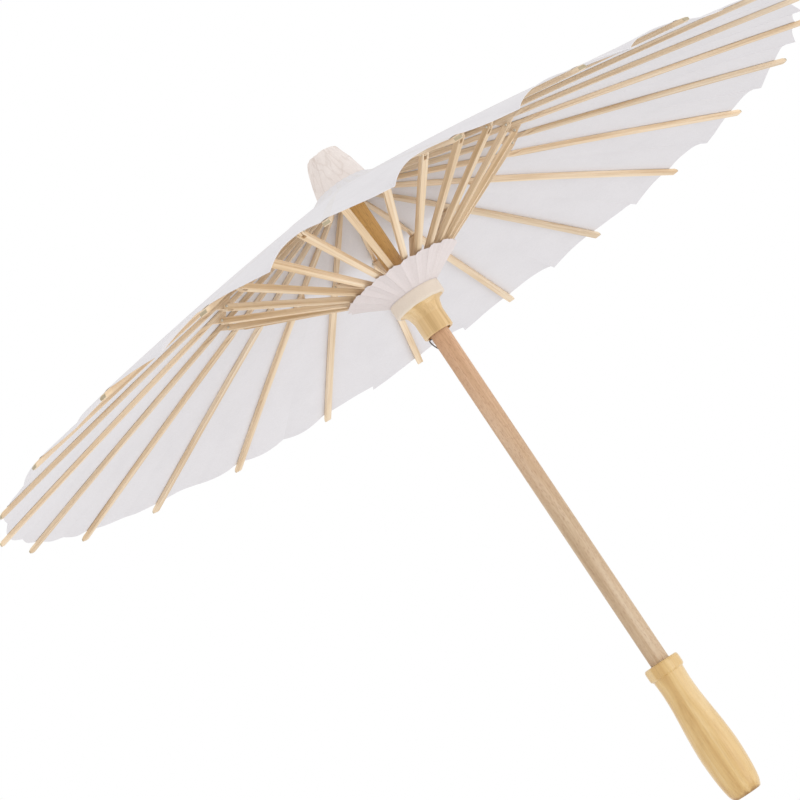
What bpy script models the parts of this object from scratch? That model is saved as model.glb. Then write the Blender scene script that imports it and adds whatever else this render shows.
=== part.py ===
"""Oil paper umbrella: a 60 cm paper parasol on a wooden shaft, open.

Metres, +Z up along the shaft. The origin is the centre of the handle's flat end.
Ribs, stretchers, runner, crown, threads, paper and handle are separate solids.
"""

import math

import bmesh
import bpy
from mathutils import Matrix, Vector
from mathutils.geometry import tessellate_polygon

MM = 0.001
GAP = 0.3 * MM  # clearance between pieces that touch

# The frame of ribs and stretchers, in a half plane through the axis: (radius, height).
RIB_COUNT = 23
RIB_PITCH = 2 * math.pi / RIB_COUNT
HINGE_RADIUS = 14 * MM
CROWN_HINGE_Z = 454.8 * MM
RUNNER_HINGE_Z = 376.3 * MM
PIVOT = Vector((110 * MM, 421.3 * MM))  # where a stretcher carries its rib
TIP = Vector((300 * MM, 376.3 * MM))
CROWN_HINGE = Vector((HINGE_RADIUS, CROWN_HINGE_Z))
RUNNER_HINGE = Vector((HINGE_RADIUS, RUNNER_HINGE_Z))

# Ribs
RIB_DEPTH = 2.8 * MM
RIB_STRAIGHT_FROM = Vector((25 * MM, 446.2 * MM))
RIB_BOW = 1.5 * MM  # how far the outer part rises over a straight line
RIB_EYE_WIDTH = 1.9 * MM
RIB_WAIST_WIDTH = 1.8 * MM
RIB_WAIST_HALF = 9 * MM
RIB_OUTER_WIDTH = 4.4 * MM
EYE_OUTER_RADIUS = 1.6 * MM
EYE_HOLE_RADIUS = 0.85 * MM
LUG_RADIUS = 1.9 * MM

# Stretchers
STRETCHER_DEPTH = 3.6 * MM
FORK_WIDTH = 4.8 * MM
FORK_SLOT_WIDTH = 2.5 * MM
FORK_SLOT_LENGTH = 4.2 * MM

# Threads through the eyes
THREAD_RADIUS = 0.4 * MM

# Crown slots and the groove for its thread
SLOT_WIDTH = 2.5 * MM
SLOT_BOTTOM_RADIUS = 11.7 * MM
TEETH_RADIUS = 15.4 * MM
THREAD_GROOVE_RADIUS = 12.9 * MM
THREAD_GROOVE_HALF = 0.8 * MM

# Shaft and its catch
SHAFT_RADIUS = 6.4 * MM
SHAFT_BOTTOM_Z = 61 * MM
SHAFT_TOP_Z = 472 * MM
CATCH_AZIMUTH = math.radians(180)
CATCH_SLOT_LOW_Z = 312 * MM
CATCH_SLOT_HIGH_Z = 342 * MM
CATCH_SLOT_WIDTH = 1.8 * MM
CATCH_SLOT_FLOOR = 0.9 * MM
CATCH_WIRE_RADIUS = 0.45 * MM
CATCH_PROUD_RADIUS = 8.6 * MM

# Runner
RUNNER_BORE_RADIUS = 8.3 * MM
RUNNER_CORE_RADIUS = 9.7 * MM  # inside the ring of stretcher eyes
RUNNER_BARREL_RADIUS = 10.4 * MM
RUNNER_BOTTOM_Z = 341.3 * MM
RUNNER_BARREL_TOP_Z = 356.5 * MM
FLANGE_RADIUS = 17.2 * MM
FLANGE_LOW_Z = 361.8 * MM
FLANGE_TOP_Z = 370.4 * MM

# Crown and cap
CROWN_BORE_RADIUS = SHAFT_RADIUS + GAP
CROWN_BOTTOM_Z = 451.8 * MM
CROWN_SLOT_TOP_Z = 457.2 * MM
CROWN_TOP_Z = 474 * MM
CAP_BOTTOM_Z = 455.0 * MM
CAP_TOP_Z = 479.2 * MM
CAP_BASE_RADIUS = 17.5 * MM
CAP_TOP_RADIUS = 10.2 * MM
CAP_WALL = 0.8 * MM

# Paper
PAPER_THICKNESS = 0.7 * MM
CANOPY_INNER_RADIUS = 18.4 * MM
CANOPY_OUTER_RADIUS = 293 * MM
SKIRT_INNER_RADIUS = 17.6 * MM
SKIRT_OUTER_RADIUS = 40 * MM
SKIRT_INNER_Z = 370.8 * MM
SKIRT_OUTER_Z = 383.4 * MM

# Handle
HANDLE_TOP_Z = 95.3 * MM
HANDLE_BORE_BOTTOM_Z = 60.5 * MM
HANDLE_BORE_RADIUS = SHAFT_RADIUS + GAP

ROUND_STEPS = 32  # sides of a turned piece


def clear_scene():
    for item in list(bpy.data.objects):
        bpy.data.objects.remove(item, do_unlink=True)


def material(name, colour, roughness, metallic=0.0):
    made = bpy.data.materials.new(name)
    made.use_nodes = True
    shader = made.node_tree.nodes["Principled BSDF"]
    shader.inputs["Base Color"].default_value = (*colour, 1.0)
    shader.inputs["Roughness"].default_value = roughness
    shader.inputs["Metallic"].default_value = metallic
    return made


def add_object(name, mesh, finish, angle=0.0):
    """A node of the model, turned by angle about the shaft."""
    if not mesh.materials:
        mesh.materials.append(finish)
    made = bpy.data.objects.new(name, mesh)
    made.matrix_world = Matrix.Rotation(angle, 4, "Z")
    bpy.context.scene.collection.objects.link(made)
    return made


def mesh_from(name, points, faces):
    mesh = bpy.data.meshes.new(name)
    mesh.from_pydata([tuple(point) for point in points], [], faces)
    build = bmesh.new()
    build.from_mesh(mesh)
    bmesh.ops.remove_doubles(build, verts=build.verts, dist=1e-7)
    bmesh.ops.recalc_face_normals(build, faces=build.faces)
    if build.calc_volume(signed=True) < 0:
        bmesh.ops.reverse_faces(build, faces=build.faces)
    build.to_mesh(mesh)
    build.free()
    return mesh


def turned(name, outline, steps=ROUND_STEPS):
    """A closed outline of (radius, height) points, turned about the Z axis."""
    points = []
    faces = []
    count = len(outline)
    for step in range(steps):
        angle = 2 * math.pi * step / steps
        for radius, height in outline:
            points.append((radius * math.cos(angle), radius * math.sin(angle), height))
    for step in range(steps):
        here = step * count
        there = (step + 1) % steps * count
        for k in range(count):
            n = (k + 1) % count
            corners = [here + k, here + n, there + n, there + k]
            if outline[k][0] == 0:
                corners.remove(there + k)
            if outline[n][0] == 0:
                corners.remove(there + n)
            if len(corners) > 2:
                faces.append(corners)
    mesh = mesh_from(name, points, faces)
    mesh.shade_smooth()
    mesh.set_sharp_from_angle(angle=math.radians(35))
    return mesh


def box_mesh(name, low, high):
    points = [(x, y, z) for x in (low[0], high[0]) for y in (low[1], high[1]) for z in (low[2], high[2])]
    faces = [(0, 1, 3, 2), (4, 6, 7, 5), (0, 4, 5, 1), (2, 3, 7, 6), (0, 2, 6, 4), (1, 5, 7, 3)]
    return mesh_from(name, points, faces)


def joined(name, meshes, angles):
    """One mesh of the given meshes, each turned about the Z axis."""
    build = bmesh.new()
    for mesh, angle in zip(meshes, angles):
        copy = mesh.copy()
        copy.transform(Matrix.Rotation(angle, 4, "Z"))
        build.from_mesh(copy)
    made = bpy.data.meshes.new(name)
    build.to_mesh(made)
    build.free()
    return made


def cut(target, name, cutter_mesh):
    """Subtracts a mesh from an object with a Boolean that stays on it."""
    cutter = bpy.data.objects.new(name, cutter_mesh)
    cutter.hide_render = True
    cutter.display_type = "WIRE"
    bpy.context.scene.collection.objects.link(cutter)
    boolean = target.modifiers.new(name, "BOOLEAN")
    boolean.operation = "DIFFERENCE"
    boolean.solver = "EXACT"
    boolean.object = cutter


def crown_slots():
    """The slots between the crown's teeth, one for each rib."""
    one = box_mesh(
        "crown_slot",
        (SLOT_BOTTOM_RADIUS, -SLOT_WIDTH / 2, CROWN_BOTTOM_Z - 2 * MM),
        (TEETH_RADIUS + 4 * MM, SLOT_WIDTH / 2, CROWN_SLOT_TOP_Z),
    )
    return joined("crown_slots", [one] * RIB_COUNT, [k * RIB_PITCH for k in range(RIB_COUNT)])


def arc(centre, radius, start, end, steps):
    """Points on an arc, from one angle to the other, in degrees."""
    angles = [math.radians(start + (end - start) * k / steps) for k in range(steps + 1)]
    return [centre + Vector((math.cos(a), math.sin(a))) * radius for a in angles]


def plate(name, outline, hole, width_at):
    """A bar of varying width: an outline in the radial plane with one hole through it.

    width_at gives the width across the plane at an (radius, height) point.
    """
    loops = [outline, hole]
    flat = [point for loop in loops for point in loop]
    triangles = tessellate_polygon([[point.to_3d() for point in loop] for loop in loops])
    points = []
    for side in (-1, 1):
        points += [(p.x, side * width_at(p) / 2, p.y) for p in flat]
    total = len(flat)
    faces = [tuple(t) for t in triangles]
    faces += [tuple(k + total for k in reversed(t)) for t in triangles]
    start = 0
    for loop in loops:
        size = len(loop)
        for k in range(size):
            a = start + k
            b = start + (k + 1) % size
            faces.append((a, b, b + total, a + total))
        start += size
    return mesh_from(name, points, faces)


def blend_steps(value, table):
    """Linear steps through (position, value) pairs."""
    for (x0, y0), (x1, y1) in zip(table, table[1:]):
        if value <= x1:
            share = max(0.0, (value - x0) / (x1 - x0))
            return y0 + (y1 - y0) * share
    return table[-1][1]


def rib_centre(radius):
    """Height of the middle of a rib, which is straight near the hub and slightly bowed outside."""
    start = RIB_STRAIGHT_FROM
    if radius <= start.x:
        share = (radius - HINGE_RADIUS) / (start.x - HINGE_RADIUS)
        return CROWN_HINGE_Z + (start.y - CROWN_HINGE_Z) * share
    share = (radius - start.x) / (TIP.x - start.x)
    return start.y + (TIP.y - start.y) * share + RIB_BOW * math.sin(math.pi * share)


def rib_top(radius):
    return rib_centre(radius) + RIB_DEPTH / 2


def rib_width(point):
    along = point.x - HINGE_RADIUS
    past_pivot = abs(point.x - PIVOT.x)
    plain = blend_steps(
        along,
        [
            (0, RIB_EYE_WIDTH),
            (19 * MM, 2.0 * MM),
            (30 * MM, 2.4 * MM),
            (60 * MM, 3.4 * MM),
            (120 * MM, RIB_OUTER_WIDTH),
        ],
    )
    waist = blend_steps(past_pivot, [(RIB_WAIST_HALF, RIB_WAIST_WIDTH), (RIB_WAIST_HALF + 5 * MM, plain)])
    return min(plain, waist)


def rib_mesh():
    """A rib: an eye at the crown, a lug where its stretcher holds it, and a plain tip."""
    upper_radii = [20, 25, 44, 74, 99, 104, 119, 124, 134, 170, 215, 260, 298]
    lower_radii = [298, 260, 215, 170, 134, 124, 119, 116]
    inner_radii = [104, 99, 74, 44, 27, 21]
    half = Vector((0, RIB_DEPTH / 2))
    upper = [Vector((r * MM, rib_centre(r * MM))) + half for r in upper_radii]
    lower = [Vector((r * MM, rib_centre(r * MM))) - half for r in lower_radii]
    inner = [Vector((r * MM, rib_centre(r * MM))) - half for r in inner_radii]
    tip = [TIP + Vector((0, 0.7 * MM)), TIP - Vector((0, 0.7 * MM))]
    lug = arc(PIVOT, LUG_RADIUS, -25, -165, 4)
    eye = arc(CROWN_HINGE, EYE_OUTER_RADIUS, 235, 55, 5)
    outline = eye + upper + tip + lower + lug + inner
    hole = arc(CROWN_HINGE, EYE_HOLE_RADIUS, 0, 315, 7)
    return plate("rib", outline, hole, rib_width)


def stretcher_mesh():
    """A stretcher: an eye at the runner and a fork that straddles the rib's lug."""
    line = PIVOT - RUNNER_HINGE
    length = line.length
    along = line.normalized()
    across = Vector((-along.y, along.x))
    half = STRETCHER_DEPTH / 2

    def at(distance, side):
        return RUNNER_HINGE + along * distance + across * side

    def width(point):
        distance = (point - RUNNER_HINGE).dot(along)
        return blend_steps(
            distance,
            [
                (4 * MM, RIB_EYE_WIDTH),
                (16 * MM, 3.4 * MM),
                (60 * MM, 4.2 * MM),
                (length - 14 * MM, FORK_WIDTH),
            ],
        )

    lean = math.degrees(math.atan2(along.y, along.x))
    stations = [7 * MM, 16 * MM, 60 * MM, length - 14 * MM, length - 0.4 * MM]
    top = [at(d, half) for d in stations]
    bottom = [at(d, -half) for d in reversed(stations)]
    end = arc(PIVOT, half, lean + 60, lean - 60, 3)
    eye = arc(RUNNER_HINGE, EYE_OUTER_RADIUS, lean + 290, lean + 70, 5)
    hole = arc(RUNNER_HINGE, EYE_HOLE_RADIUS, 0, 315, 7)
    bar = plate("stretcher_bar", eye + top + end + bottom, hole, width)
    slot = box_mesh(
        "fork_slot",
        (-FORK_SLOT_LENGTH, -FORK_SLOT_WIDTH / 2, -4 * MM),
        (6 * MM, FORK_SLOT_WIDTH / 2, 4 * MM),
    )
    slot.transform(Matrix.Translation((PIVOT.x, 0, PIVOT.y)) @ Matrix.Rotation(-math.radians(lean), 4, "Y"))
    return subtracted("stretcher", bar, slot)


def subtracted(name, target_mesh, cutter_mesh):
    """The mesh left when one mesh is cut from another, for pieces that share it."""
    target = bpy.data.objects.new(name + "_blank", target_mesh)
    bpy.context.scene.collection.objects.link(target)
    cut(target, name + "_cutter", cutter_mesh)
    graph = bpy.context.evaluated_depsgraph_get()
    result = bpy.data.meshes.new_from_object(target.evaluated_get(graph))
    cutter = target.modifiers[0].object
    bpy.data.objects.remove(target)
    bpy.data.objects.remove(cutter)
    result.name = name
    return result


def thread_mesh(name, height):
    """A ring of twine through all the eyes of a hub."""
    centre = Vector((HINGE_RADIUS, height))
    section = [tuple(p) for p in arc(centre, THREAD_RADIUS, 0, 300, 5)]
    return turned(name, section, 46)


def make_ribs(wood):
    mesh = rib_mesh()
    for k in range(RIB_COUNT):
        add_object(f"rib_{k + 1:02d}", mesh, wood, k * RIB_PITCH)


def make_stretchers(wood):
    mesh = stretcher_mesh()
    for k in range(RIB_COUNT):
        add_object(f"stretcher_{k + 1:02d}", mesh, wood, k * RIB_PITCH)


def make_crown(wood, twine):
    """The fixed hub: 23 slots open below, a groove for the twine, and a boss inside the cap."""
    groove_low = CROWN_HINGE_Z - THREAD_GROOVE_HALF
    groove_high = CROWN_HINGE_Z + THREAD_GROOVE_HALF
    boss_low = 461 * MM
    outline = [
        (CROWN_BORE_RADIUS, CROWN_BOTTOM_Z),
        (TEETH_RADIUS, CROWN_BOTTOM_Z),
        (TEETH_RADIUS, groove_low),
        (THREAD_GROOVE_RADIUS, groove_low),
        (THREAD_GROOVE_RADIUS, groove_high),
        (TEETH_RADIUS, groove_high),
        (14.2 * MM, boss_low),
        (9 * MM, CROWN_TOP_Z),
        (CROWN_BORE_RADIUS, CROWN_TOP_Z),
    ]
    crown = add_object("crown", turned("crown", outline, 46), wood)
    cut(crown, "crown_slots", crown_slots())
    add_object("crown_thread", thread_mesh("crown_thread", CROWN_HINGE_Z), twine)


def make_runner(wood, twine):
    """The sliding hub: a core inside the stretcher eyes, a flange below them and a plain barrel."""
    top_z = RUNNER_HINGE_Z + 3 * MM
    chamfer = 0.6 * MM
    cove = [tuple(p) for p in arc(Vector((16.6 * MM, 356.5 * MM)), 5.3 * MM, 97, 170, 4)]
    outline = [
        (RUNNER_BORE_RADIUS, top_z),
        (RUNNER_BORE_RADIUS, RUNNER_BOTTOM_Z),
        (RUNNER_BARREL_RADIUS - chamfer, RUNNER_BOTTOM_Z),
        (RUNNER_BARREL_RADIUS, RUNNER_BOTTOM_Z + chamfer),
        (RUNNER_BARREL_RADIUS, RUNNER_BARREL_TOP_Z - 3 * MM),
        *reversed(cove),
        (FLANGE_RADIUS, FLANGE_LOW_Z + chamfer),
        (FLANGE_RADIUS, FLANGE_TOP_Z),
        (RUNNER_CORE_RADIUS + chamfer, FLANGE_TOP_Z),
        (RUNNER_CORE_RADIUS, FLANGE_TOP_Z + chamfer),
        (RUNNER_CORE_RADIUS, top_z - chamfer),
        (RUNNER_CORE_RADIUS - chamfer, top_z),
    ]
    add_object("runner", turned("runner", outline, 64), wood)
    add_object("runner_thread", thread_mesh("runner_thread", RUNNER_HINGE_Z), twine)


def make_cap(paper):
    """The paper cap over the crown, open below."""
    lift = 2 * MM
    outline = [
        (CAP_BASE_RADIUS - CAP_WALL, CAP_BOTTOM_Z),
        (CAP_BASE_RADIUS, CAP_BOTTOM_Z),
        (CAP_BASE_RADIUS - 1.2 * MM, CAP_BOTTOM_Z + 8 * MM),
        (CAP_TOP_RADIUS, CAP_TOP_Z - lift),
        (CAP_TOP_RADIUS - lift, CAP_TOP_Z),
        (0, CAP_TOP_Z),
        (0, CAP_TOP_Z - CAP_WALL),
        (CAP_TOP_RADIUS - lift, CAP_TOP_Z - CAP_WALL),
        (CAP_TOP_RADIUS - CAP_WALL, CAP_TOP_Z - lift - CAP_WALL),
        (CAP_BASE_RADIUS - 1.2 * MM - CAP_WALL, CAP_BOTTOM_Z + 8 * MM),
    ]
    add_object("crown_cap", turned("crown_cap", outline), paper)


def make_canopy(paper):
    """The paper cone that lies on the ribs."""
    radii = [CANOPY_INNER_RADIUS, 26 * MM, 110 * MM, 200 * MM, CANOPY_OUTER_RADIUS]
    under = [(r, rib_top(r) + GAP) for r in radii]
    over = [(r, z + PAPER_THICKNESS) for r, z in reversed(under)]
    add_object("canopy", turned("canopy", under + over, 46), paper)


def make_skirt(paper):
    """The paper collar under the inner ends of the stretchers."""
    under = [(SKIRT_INNER_RADIUS, SKIRT_INNER_Z), (SKIRT_OUTER_RADIUS, SKIRT_OUTER_Z)]
    over = [(r, z + PAPER_THICKNESS) for r, z in reversed(under)]
    add_object("runner_skirt", turned("runner_skirt", under + over, 46), paper)


def make_shaft(wood):
    """The stick, with a slot for the catch."""
    chamfer = 0.5 * MM
    outline = [
        (0, SHAFT_TOP_Z),
        (0, SHAFT_BOTTOM_Z),
        (SHAFT_RADIUS - chamfer, SHAFT_BOTTOM_Z),
        (SHAFT_RADIUS, SHAFT_BOTTOM_Z + chamfer),
        (SHAFT_RADIUS, SHAFT_TOP_Z - chamfer),
        (SHAFT_RADIUS - chamfer, SHAFT_TOP_Z),
    ]
    shaft = add_object("shaft", turned("shaft", outline, 24), wood)
    slot = box_mesh(
        "catch_slot",
        (CATCH_SLOT_FLOOR, -CATCH_SLOT_WIDTH / 2, CATCH_SLOT_LOW_Z),
        (SHAFT_RADIUS + 2 * MM, CATCH_SLOT_WIDTH / 2, CATCH_SLOT_HIGH_Z),
    )
    slot.transform(Matrix.Rotation(CATCH_AZIMUTH, 4, "Z"))
    cut(shaft, "catch_slot", slot)


def make_catch(steel):
    """A bent spring wire that holds the runner up until it is pressed into the shaft."""
    back = 4.6 * MM
    route = [
        (back, CATCH_SLOT_LOW_Z + 1.5 * MM),
        (back, 322 * MM),
        (back + 0.3 * MM, 330 * MM),
        (SHAFT_RADIUS + 0.8 * MM, 335.5 * MM),
        (CATCH_PROUD_RADIUS - CATCH_WIRE_RADIUS, 338.8 * MM),
        (CATCH_PROUD_RADIUS - CATCH_WIRE_RADIUS - 0.2 * MM, 340.2 * MM),
        (SHAFT_RADIUS, 340.5 * MM),
        (back, 339.6 * MM),
    ]
    curve = bpy.data.curves.new("catch_spring", "CURVE")
    curve.dimensions = "3D"
    curve.bevel_depth = CATCH_WIRE_RADIUS
    curve.bevel_resolution = 1
    curve.use_fill_caps = True
    spline = curve.splines.new("POLY")
    spline.points.add(len(route) - 1)
    for point, (radius, height) in zip(spline.points, route):
        point.co = (radius, 0, height, 1)
    curve.materials.append(steel)
    wire = bpy.data.objects.new("catch_spring", curve)
    wire.matrix_world = Matrix.Rotation(CATCH_AZIMUTH, 4, "Z")
    bpy.context.scene.collection.objects.link(wire)


def make_handle(wood):
    """A turned grip: flat end, full belly, hollow neck and a small collar, with a blind bore."""
    outline = [
        (0, HANDLE_BORE_BOTTOM_Z),
        (0, 0),
        (8.8 * MM, 0),
        (9.7 * MM, 0.9 * MM),
        (11.2 * MM, 5 * MM),
        (12.1 * MM, 10.5 * MM),
        (12.7 * MM, 17 * MM),
        (13.1 * MM, 25 * MM),
        (13.2 * MM, 32 * MM),
        (12.9 * MM, 39 * MM),
        (12.5 * MM, 45 * MM),
        (11.9 * MM, 52 * MM),
        (11.2 * MM, 59 * MM),
        (10.6 * MM, 66 * MM),
        (10.3 * MM, 72 * MM),
        (10.2 * MM, 78 * MM),
        (10.4 * MM, 83 * MM),
        (10.7 * MM, 86.6 * MM),
        (11.6 * MM, 87.4 * MM),
        (12.0 * MM, 88.6 * MM),
        (12.0 * MM, HANDLE_TOP_Z - 1.2 * MM),
        (11.0 * MM, HANDLE_TOP_Z),
        (HANDLE_BORE_RADIUS, HANDLE_TOP_Z),
        (HANDLE_BORE_RADIUS, HANDLE_BORE_BOTTOM_Z),
    ]
    add_object("handle", turned("handle", outline), wood)


def main():
    clear_scene()
    rib_wood = material("rib_bamboo", (0.72, 0.53, 0.30), 0.6)
    stretcher_wood = material("stretcher_bamboo", (0.74, 0.53, 0.28), 0.6)
    hub_wood = material("hub_wood", (0.68, 0.47, 0.20), 0.55)
    shaft_wood = material("shaft_wood", (0.60, 0.40, 0.27), 0.6)
    handle_wood = material("handle_wood", (0.78, 0.50, 0.20), 0.3)
    paper = material("white_paper", (0.80, 0.79, 0.80), 0.75)
    cap_paper = material("cap_paper", (0.80, 0.74, 0.68), 0.8)
    twine = material("cotton_twine", (0.75, 0.70, 0.60), 0.9)
    steel = material("spring_wire", (0.25, 0.25, 0.26), 0.35, 1.0)
    make_handle(handle_wood)
    make_shaft(shaft_wood)
    make_catch(steel)
    make_crown(hub_wood, twine)
    make_cap(cap_paper)
    make_runner(hub_wood, twine)
    make_skirt(paper)
    make_ribs(rib_wood)
    make_stretchers(stretcher_wood)
    make_canopy(paper)


main()
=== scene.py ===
"""The looks of the oil paper umbrella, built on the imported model.

Everything is in metres, in the model's own frame: +Z up along the shaft, rib_01 at +X.
The paper of the canopy rides on the ribs in two kinds of piece: a narrow strip on each rib,
and on each side of it half a panel that folds inwards as the umbrella closes.
"""

import math
import random

import bmesh
import bpy
from mathutils import Matrix, Vector, noise


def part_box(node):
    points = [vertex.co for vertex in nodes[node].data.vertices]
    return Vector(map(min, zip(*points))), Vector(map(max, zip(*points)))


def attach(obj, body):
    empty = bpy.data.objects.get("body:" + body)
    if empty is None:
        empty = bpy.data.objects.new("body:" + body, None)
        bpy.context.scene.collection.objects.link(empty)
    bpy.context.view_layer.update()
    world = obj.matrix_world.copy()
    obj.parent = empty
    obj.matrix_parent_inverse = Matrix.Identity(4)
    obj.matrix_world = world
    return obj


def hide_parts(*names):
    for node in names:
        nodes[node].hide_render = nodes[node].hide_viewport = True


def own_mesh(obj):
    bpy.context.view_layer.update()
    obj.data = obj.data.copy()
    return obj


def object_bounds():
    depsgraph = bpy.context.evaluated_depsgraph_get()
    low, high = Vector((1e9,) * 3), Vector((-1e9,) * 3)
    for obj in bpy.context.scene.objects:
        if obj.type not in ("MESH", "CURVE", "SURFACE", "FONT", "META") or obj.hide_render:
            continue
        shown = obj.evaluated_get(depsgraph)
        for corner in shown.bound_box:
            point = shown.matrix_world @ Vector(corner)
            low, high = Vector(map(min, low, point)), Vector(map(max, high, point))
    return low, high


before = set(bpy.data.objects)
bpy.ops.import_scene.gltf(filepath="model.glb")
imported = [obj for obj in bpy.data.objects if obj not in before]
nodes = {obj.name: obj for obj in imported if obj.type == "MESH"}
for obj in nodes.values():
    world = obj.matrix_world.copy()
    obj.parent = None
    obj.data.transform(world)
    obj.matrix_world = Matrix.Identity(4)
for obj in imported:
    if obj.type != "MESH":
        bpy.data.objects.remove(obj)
cad_low, cad_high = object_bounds()

MM = 0.001
RIB_COUNT = 23
PITCH = 2 * math.pi / RIB_COUNT
HALF = PITCH / 2  # from a rib to the crease in the middle of a panel
SHARP_ANGLE = math.radians(40)  # steeper edges of wood stay sharp, or get a bevel

# The line of a rib, in a half plane through the axis: (radius, height)
HINGE = Vector((14 * MM, 454.8 * MM))
RIB_STRAIGHT_FROM = Vector((25 * MM, 446.2 * MM))
RIB_TIP = Vector((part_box("rib_01")[1].x, 376.3 * MM))
RIB_BOW = 1.5 * MM
RIB_DEPTH = 2.8 * MM
RIB_SLOPE = math.atan2(RIB_TIP.y - RIB_STRAIGHT_FROM.y, RIB_TIP.x - RIB_STRAIGHT_FROM.x)
BAR_BEVEL = 0.22 * MM  # on the edges of ribs and stretchers

# The line of a stretcher
RUNNER_HINGE = Vector((14 * MM, 376.3 * MM))
PIVOT = Vector((110 * MM, 421.3 * MM))
STRETCHER_SLOPE = math.atan2(PIVOT.y - RUNNER_HINGE.y, PIVOT.x - RUNNER_HINGE.x)
STRETCHER_END = 3 * MM  # past the pivot
FORK_WIDTH = 4.8 * MM

# End grain of ribs and stretchers
END_GRAIN = 1.1 * MM  # from where it starts to the tip
END_GRAIN_FADE = 0.8 * MM
END_SLANT = 0.6  # along the bar for each unit through it

# Canopy paper
PAPER_THICKNESS = 0.25 * MM
PAPER_LIFT = 0.14 * MM  # over the top of a rib
PAPER_INNER = 18.4 * MM
PAPER_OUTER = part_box("canopy")[1].x
PAPER_ROWS = 40
ROW_SPREAD = 0.9  # under 1, it puts the rows closer together at the rim
STRIP_COLUMNS = 7
STRIP_HALF_INNER = 1.35 * MM
STRIP_HALF_OUTER = 3.0 * MM
# Its area, from the mean width, is the real one.
STRIP_EMBOSS = 0.22 * MM
PANEL_COLUMNS = 13
CREASE_DEPTH = 0.7 * MM  # of the fold in the middle of a panel, at the rim
RIPPLE = 0.75 * MM
RIPPLE_FROM = 90 * MM  # the radius where the ripples reach their full height

# The rim of the canopy, which is stepped at the creases on one side and wavy on the other
STEPPED_MIDDLE = math.radians(20)
STEPPED_REACH = math.radians(95)  # on both sides of its middle
STEPPED_FADE = math.radians(15)
LONG_STEP, SHORT_STEP = 5.6, -0.6  # millimetres, of the two half panels at a crease
NEAR_DROP = 4.8  # millimetres, on the -Y side
STEPPED_DROP = 1.5

# Skirt of the runner: (radius, height) from the flange to the rim
SKIRT_LINE = [
    Vector((17.6 * MM, 371.3 * MM)),
    Vector((22 * MM, 374.2 * MM)),
    Vector((28 * MM, 378.0 * MM)),
    Vector((34 * MM, 381.6 * MM)),
    Vector((41 * MM, 385.2 * MM)),
]
PLEAT_COLUMNS = 13
PLEAT_DEPTH = 1.5 * MM
PLEAT_POINT = 1.9  # millimetres that the rim reaches out at a crease

# Shaft and runner
SHAFT_RADIUS = 6.4 * MM
SHAFT_LOW, SHAFT_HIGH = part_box("shaft")[0].z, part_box("shaft")[1].z
SHAFT_CHAMFER = 0.5 * MM
SLOT_LOW, SLOT_HIGH = 312 * MM, 342 * MM
SLOT_FLOOR_X, SLOT_HALF_WIDTH = -0.9 * MM, 0.9 * MM
CATCH_RADIUS = 0.45 * MM
FLANGE_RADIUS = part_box("runner")[1].x
FLANGE_LOW_Z = 361.8 * MM
FLANGE_TOP_Z = 370.4 * MM

# Camera and studio
AIM = Vector((-0.0439, -0.0007, 0.3196))
CAMERA_DISTANCE = 1.6776
CAMERA_AZIMUTH, CAMERA_ELEVATION, CAMERA_ROLL = (math.radians(angle) for angle in (0.85, -7.91, 33.61))
CAMERA_LENS, CAMERA_SENSOR = 120.8, 36
FLOOR_Z, FLOOR_RADIUS, FLOOR_STEPS = -2.2, 7.0, 96
KEY_DISTANCE, KEY_SIZE, KEY_POWER = 1.9, 1.3, 7


# Small mesh tools


def piece(name, points, faces, finish):
    """A smooth shaded mesh object made of points and faces."""
    mesh = bpy.data.meshes.new(name)
    mesh.from_pydata([tuple(point) for point in points], [], faces)
    mesh.materials.append(finish)
    mesh.shade_smooth()
    made = bpy.data.objects.new(name, mesh)
    bpy.context.scene.collection.objects.link(made)
    return made


def grid_faces(rows, columns, closed=False, flipped=False):
    """Quads over rows of points, each row with that many columns."""
    faces = []
    for row in range(rows - 1):
        for column in range(columns if closed else columns - 1):
            a = row * columns + column
            b = row * columns + (column + 1) % columns
            quad = (a, b, b + columns, a + columns)
            faces.append(tuple(reversed(quad)) if flipped else quad)
    return faces


def face_outwards(item, merge=0.0):
    """Turns all faces outwards, after points closer than merge are made one."""
    build = bmesh.new()
    build.from_mesh(item.data)
    if merge:
        bmesh.ops.remove_doubles(build, verts=build.verts, dist=merge)
    bmesh.ops.recalc_face_normals(build, faces=build.faces)
    build.to_mesh(item.data)
    build.free()
    item.data.shade_smooth()


def solidify(item, thickness, offset=1.0):
    """Gives a sheet its thickness on the side of its normals, or with offset -1 on the other."""
    modifier = item.modifiers.new("thickness", "SOLIDIFY")
    modifier.thickness = thickness
    modifier.offset = offset
    split = item.modifiers.new("sharp_rim", "EDGE_SPLIT")
    split.split_angle = math.radians(60)


def smoothed(points, steps):
    """A smooth curve through the points, with that many steps in each span."""
    padded = [2 * points[0] - points[1], *points, 2 * points[-1] - points[-2]]
    result = []
    for a, b, c, d in zip(padded, padded[1:], padded[2:], padded[3:]):
        for step in range(steps):
            t = step / steps
            square = (2 * a - 5 * b + 4 * c - d) * t * t
            cube = (3 * b - a - 3 * c + d) * t**3
            result.append(0.5 * (2 * b + (c - a) * t + square + cube))
    return [*result, points[-1]]


def turned(name, outline, finish, steps):
    """An open outline of (radius, height) points from axis to axis, turned about Z."""
    points = []
    for radius, height in outline:
        for step in range(steps):
            angle = 2 * math.pi * step / steps
            points.append((radius * math.cos(angle), radius * math.sin(angle), height))
    made = piece(name, points, grid_faces(len(outline), steps, closed=True), finish)
    face_outwards(made, merge=1e-7)
    made.data.set_sharp_from_angle(angle=SHARP_ANGLE)
    return made


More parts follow.
